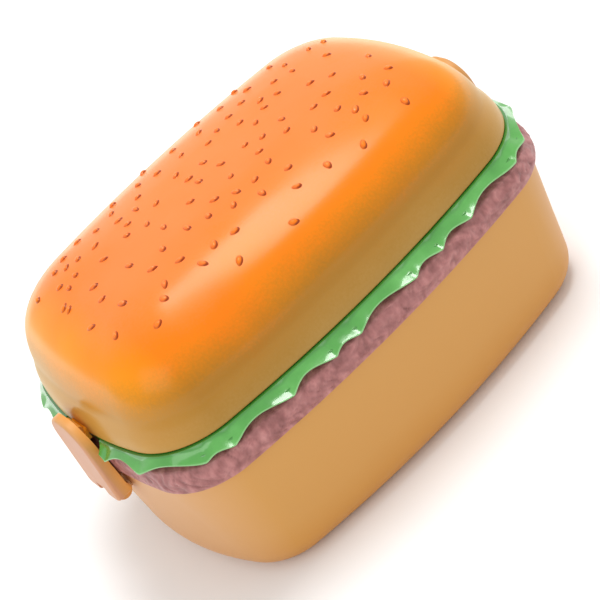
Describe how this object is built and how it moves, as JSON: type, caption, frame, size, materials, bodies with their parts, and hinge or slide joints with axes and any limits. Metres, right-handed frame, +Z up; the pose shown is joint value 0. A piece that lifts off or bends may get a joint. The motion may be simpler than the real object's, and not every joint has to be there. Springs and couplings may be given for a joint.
{
  "type": "stacking lunch box",
  "caption": "Burger-shaped stacking lunch box: deep bun tub, patty and lettuce trays, hollow bun lid with relief seeds, and hinged end clips that latch the lid.",
  "frame": {"origin": "centre of the flat base, on the surface that the box stands on", "axes": "+X along the length towards the right clip, +Y to the back, +Z up"},
  "size_m": [0.1958, 0.1351, 0.1056],
  "materials": {
    "bun_bottom": "moulded tan plastic, satin",
    "patty": "textured mauve-brown plastic",
    "silicone": "translucent white silicone",
    "lettuce": "glossy green plastic",
    "bun_top": "airbrushed orange to tan, satin gloss",
    "fork": "glossy green plastic",
    "clip": "moulded tan plastic, satin",
    "pin": "plain plastic rod"
  },
  "bodies": {
    "bottom_box": {"bottom_box": "bun_bottom"},
    "patty_tray": {"patty_tray": "patty", "box_seal": "silicone"},
    "lettuce_tray": {"lettuce_tray": "lettuce", "tray_seal": "silicone", "lid_seal": "silicone"},
    "bun_lid": {"bun_lid": "bun_top"},
    "fork": {"fork": "fork"},
    "left_clip": {"left_clip": "clip", "left_clip_pin": "pin"},
    "right_clip": {"right_clip": "clip", "right_clip_pin": "pin"}
  },
  "joints": [
    {"name": "lid_lift", "type": "slide", "parent": "bottom_box", "child": "bun_lid", "axis": [0, 0, 1], "range_m": [0, 0.08]},
    {"name": "lettuce_tray_lift", "type": "slide", "parent": "bottom_box", "child": "lettuce_tray", "axis": [0, 0, 1], "range_m": [0, 0.05]},
    {"name": "patty_tray_lift", "type": "slide", "parent": "bottom_box", "child": "patty_tray", "axis": [0, 0, 1], "range_m": [0, 0.026]},
    {"name": "left_clip_swing", "type": "hinge", "parent": "bottom_box", "child": "left_clip", "pos_m": [-0.0936, 0, 0.0402], "axis": [0, -1, 0], "range_deg": [0, 130]},
    {"name": "right_clip_swing", "type": "hinge", "parent": "bottom_box", "child": "right_clip", "pos_m": [0.0936, 0, 0.0402], "axis": [0, 1, 0], "range_deg": [0, 130]},
    {"name": "fork_lift", "type": "slide", "parent": "lettuce_tray", "child": "fork", "axis": [0, 0, 1], "range_m": [0, 0.02]}
  ],
  "couplings": [
    {"joint": "lettuce_tray_lift", "follows": "lid_lift", "ratio": 0.625},
    {"joint": "patty_tray_lift", "follows": "lid_lift", "ratio": 0.325},
    {"joint": "left_clip_swing", "follows": "lid_lift", "rad_per_m": 28.36},
    {"joint": "right_clip_swing", "follows": "lid_lift", "rad_per_m": 28.36}
  ]
}
